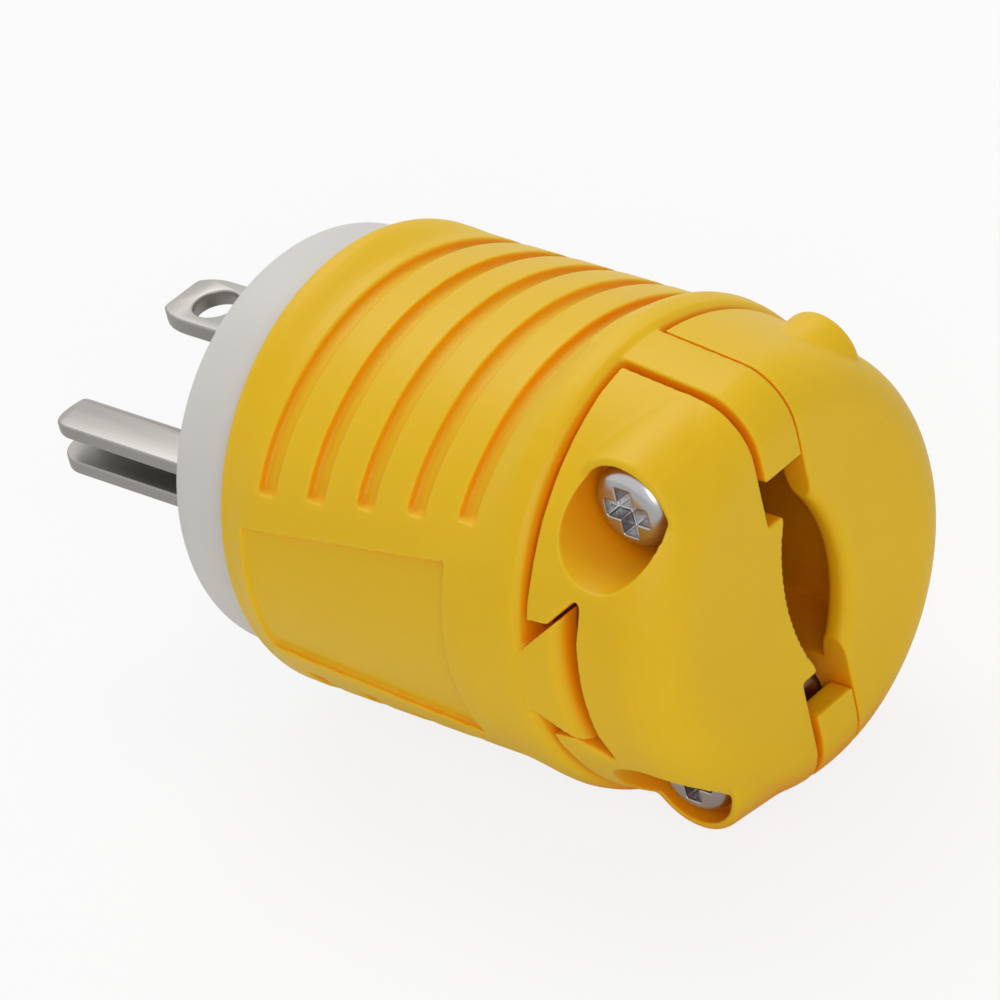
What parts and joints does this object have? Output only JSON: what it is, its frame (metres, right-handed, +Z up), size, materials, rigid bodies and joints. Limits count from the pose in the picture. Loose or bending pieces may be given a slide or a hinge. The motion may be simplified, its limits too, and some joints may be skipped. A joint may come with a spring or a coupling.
{
  "type": "three-prong plug",
  "caption": "Rewirable three-prong power plug with flat blades, a U-shaped ground pin, a grooved oval shell and a screw-down cord clamp at the rear.",
  "frame": {"origin": "centre of the white mating face, on the plug's axis", "axes": "+X from the mating face towards the cord end, +Y away from the screw wells, +Z up along the cord slot"},
  "size_m": [0.0733, 0.0408, 0.0402],
  "materials": {
    "white_nylon": "smooth moulded nylon, satin",
    "grey_plastic": "moulded, satin",
    "nickel": "nickel plate, satin",
    "brass": "bare brass",
    "zinc": "bright zinc plate",
    "green_metal": "green dyed zinc plate",
    "yellow_nylon": "smooth moulded nylon, satin"
  },
  "bodies": {
    "plug": {"front_face": "white_nylon", "terminal_cover": "grey_plastic", "line_blade": "nickel", "neutral_blade": "nickel", "ground_pin": "nickel", "line_screw": "brass", "neutral_screw": "zinc", "ground_screw": "green_metal", "line_clamp_plate": "brass", "neutral_clamp_plate": "zinc", "ground_clamp_plate": "zinc", "body_shell": "yellow_nylon", "boss_side_jaw": "yellow_nylon", "assembly_screws": "zinc"},
    "clamp_jaw": {"screw_side_jaw": "yellow_nylon", "cord_clamp_screws": "zinc"}
  },
  "joints": [
    {"name": "clamp_slide", "type": "slide", "parent": "plug", "child": "clamp_jaw", "axis": [0, -1, 0], "range_m": [-0.0004, 0.002]}
  ]
}
